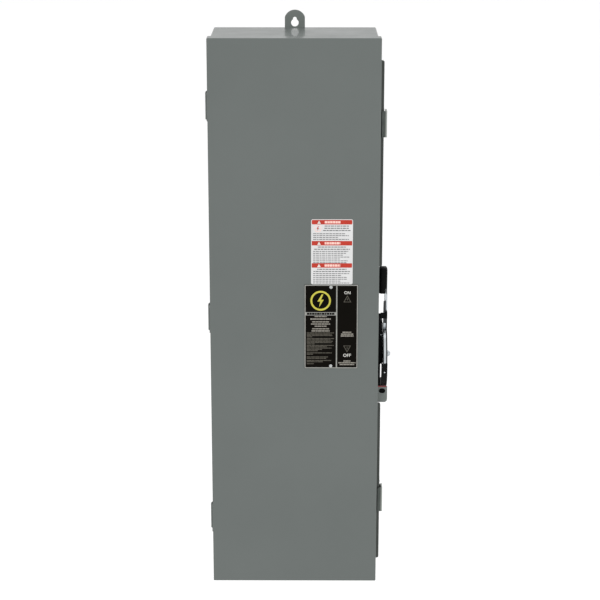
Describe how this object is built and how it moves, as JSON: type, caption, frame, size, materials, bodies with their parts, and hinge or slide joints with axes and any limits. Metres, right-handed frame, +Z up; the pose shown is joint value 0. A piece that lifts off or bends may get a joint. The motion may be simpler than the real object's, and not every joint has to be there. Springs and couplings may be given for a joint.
{
  "type": "ac disconnect box",
  "caption": "Tall wall-hung steel disconnect box with a hinged door, draw latches, a side ON/OFF handle that can be padlocked and a breaker inside.",
  "frame": {"origin": "middle of the back panel's rear face, at mid-height of the door", "axes": "+X to the right seen from the front, +Y into the wall, +Z up"},
  "size_m": [0.2789, 0.1536, 0.8908],
  "materials": {
    "enclosure_paint": "semi-gloss greenish grey powder coat",
    "zinc": "bright zinc plate",
    "dark_steel": "dull dark steel",
    "gasket_rubber": "closed-cell foam rubber",
    "plate_black": "printed black plate",
    "label_white": "printed vinyl",
    "rivet_aluminium": "satin",
    "black_plastic": "moulded, fine texture",
    "grip_plastic": "moulded, satin",
    "flag_red": "moulded",
    "bushing_bronze": "sintered bronze",
    "guide_plastic": "moulded natural nylon",
    "breaker_plastic": "moulded thermoset",
    "copper": "copper",
    "lug_aluminium": "tin-plated",
    "trip_dark": "moulded",
    "button_red": "moulded",
    "ground_green": "dyed green"
  },
  "bodies": {
    "enclosure": {"back_panel": "enclosure_paint", "mounting_tabs": "enclosure_paint", "body_shell": "enclosure_paint", "hinge_body_leaf_top": "enclosure_paint", "hinge_body_leaf_middle": "enclosure_paint", "hinge_body_leaf_bottom": "enclosure_paint", "hinge_pins": "dark_steel", "latch_base_upper": "zinc", "latch_base_lower": "zinc", "latch_pivot_pins": "dark_steel", "handle_bracket": "enclosure_paint", "handle_housing": "black_plastic", "housing_screws": "zinc", "position_flag": "flag_red", "shaft_bushing": "bushing_bronze", "drive_bracket": "zinc", "rack_guides": "guide_plastic", "mounting_pan": "zinc", "pan_standoffs": "zinc", "pan_screws": "zinc", "breaker_base": "breaker_plastic", "breaker_cover": "breaker_plastic", "breaker_screws": "zinc", "toggle_pin": "zinc", "fixed_contacts": "copper", "arc_chutes": "dark_steel", "trip_units": "trip_dark", "line_lugs": "lug_aluminium", "load_lugs": "lug_aluminium", "lug_screws": "zinc", "ground_bar": "lug_aluminium", "ground_screws": "ground_green"},
    "door": {"door_panel": "enclosure_paint", "keeper_strips": "dark_steel", "door_gasket": "gasket_rubber", "nameplate": "plate_black", "nameplate_rivets": "rivet_aluminium", "warning_label": "label_white", "hinge_door_leaf_top": "enclosure_paint", "hinge_door_leaf_middle": "enclosure_paint", "hinge_door_leaf_bottom": "enclosure_paint"},
    "latch_lever_upper": {"latch_lever_upper": "zinc", "latch_hook_pin_upper": "dark_steel"},
    "latch_hook_upper": {"latch_hook_upper": "zinc"},
    "latch_lever_lower": {"latch_lever_lower": "zinc", "latch_hook_pin_lower": "dark_steel"},
    "latch_hook_lower": {"latch_hook_lower": "zinc"},
    "handle": {"handle_shaft": "zinc", "handle_lever": "zinc", "lever_cover": "black_plastic", "handle_grip": "grip_plastic", "hub_bumper": "black_plastic", "pivot_screw": "zinc", "drive_pinion": "dark_steel"},
    "release": {"release_slide": "dark_steel"},
    "drive": {"drive_rack": "dark_steel", "toggle_yoke": "zinc"},
    "toggle": {"breaker_toggle": "breaker_plastic"},
    "contacts": {"contact_carrier": "copper"},
    "trip_button": {"trip_button": "button_red"}
  },
  "joints": [
    {"name": "door_hinge", "type": "hinge", "parent": "enclosure", "child": "door", "pos_m": [-0.1277, -0.124, 0], "axis": [0, 0, -1], "range_deg": [0, 120]},
    {"name": "latch_upper", "type": "hinge", "parent": "enclosure", "child": "latch_lever_upper", "pos_m": [0.1302, -0.092, 0.296], "axis": [0, 0, -1], "range_deg": [0, 110]},
    {"name": "latch_hook_upper_turn", "type": "hinge", "parent": "latch_lever_upper", "child": "latch_hook_upper", "pos_m": [0.1294, -0.084, 0.296], "axis": [0, 0, -1], "range_deg": [-125, 0]},
    {"name": "latch_lower", "type": "hinge", "parent": "enclosure", "child": "latch_lever_lower", "pos_m": [0.1302, -0.092, -0.296], "axis": [0, 0, -1], "range_deg": [0, 110]},
    {"name": "latch_hook_lower_turn", "type": "hinge", "parent": "latch_lever_lower", "child": "latch_hook_lower", "pos_m": [0.1294, -0.084, -0.296], "axis": [0, 0, -1], "range_deg": [-125, 0]},
    {"name": "handle_turn", "type": "hinge", "parent": "enclosure", "child": "handle", "pos_m": [0.136, -0.097, -0.0682], "axis": [1, 0, 0], "range_deg": [0, 128]},
    {"name": "release_lift", "type": "slide", "parent": "handle", "child": "release", "axis": [0, -0.1219, 0.9925], "range_m": [0, 0.006], "stiffness_N_per_m": 150, "springref_m": -0.002},
    {"name": "rack_travel", "type": "slide", "parent": "enclosure", "child": "drive", "axis": [0, 0, -1], "range_m": [0, 0.0316]},
    {"name": "toggle_swing", "type": "hinge", "parent": "enclosure", "child": "toggle", "pos_m": [-0.01, -0.07, -0.05], "axis": [1, 0, 0], "range_deg": [0, 38.4]},
    {"name": "contacts_swing", "type": "hinge", "parent": "enclosure", "child": "contacts", "pos_m": [-0.01, -0.044, -0.072], "axis": [1, 0, 0], "range_deg": [0, 20.4]},
    {"name": "trip_press", "type": "slide", "parent": "enclosure", "child": "trip_button", "axis": [0, 1, 0], "range_m": [0, 0.002], "stiffness_N_per_m": 250, "springref_m": -0.001}
  ],
  "couplings": [
    {"joint": "latch_hook_upper_turn", "follows": "latch_upper", "ratio": -1.1},
    {"joint": "latch_hook_lower_turn", "follows": "latch_lower", "ratio": -1.1},
    {"joint": "rack_travel", "follows": "handle_turn", "m_per_rad": 0.014},
    {"joint": "toggle_swing", "follows": "handle_turn", "ratio": 0.29688},
    {"joint": "contacts_swing", "follows": "handle_turn", "ratio": 0.15625}
  ]
}
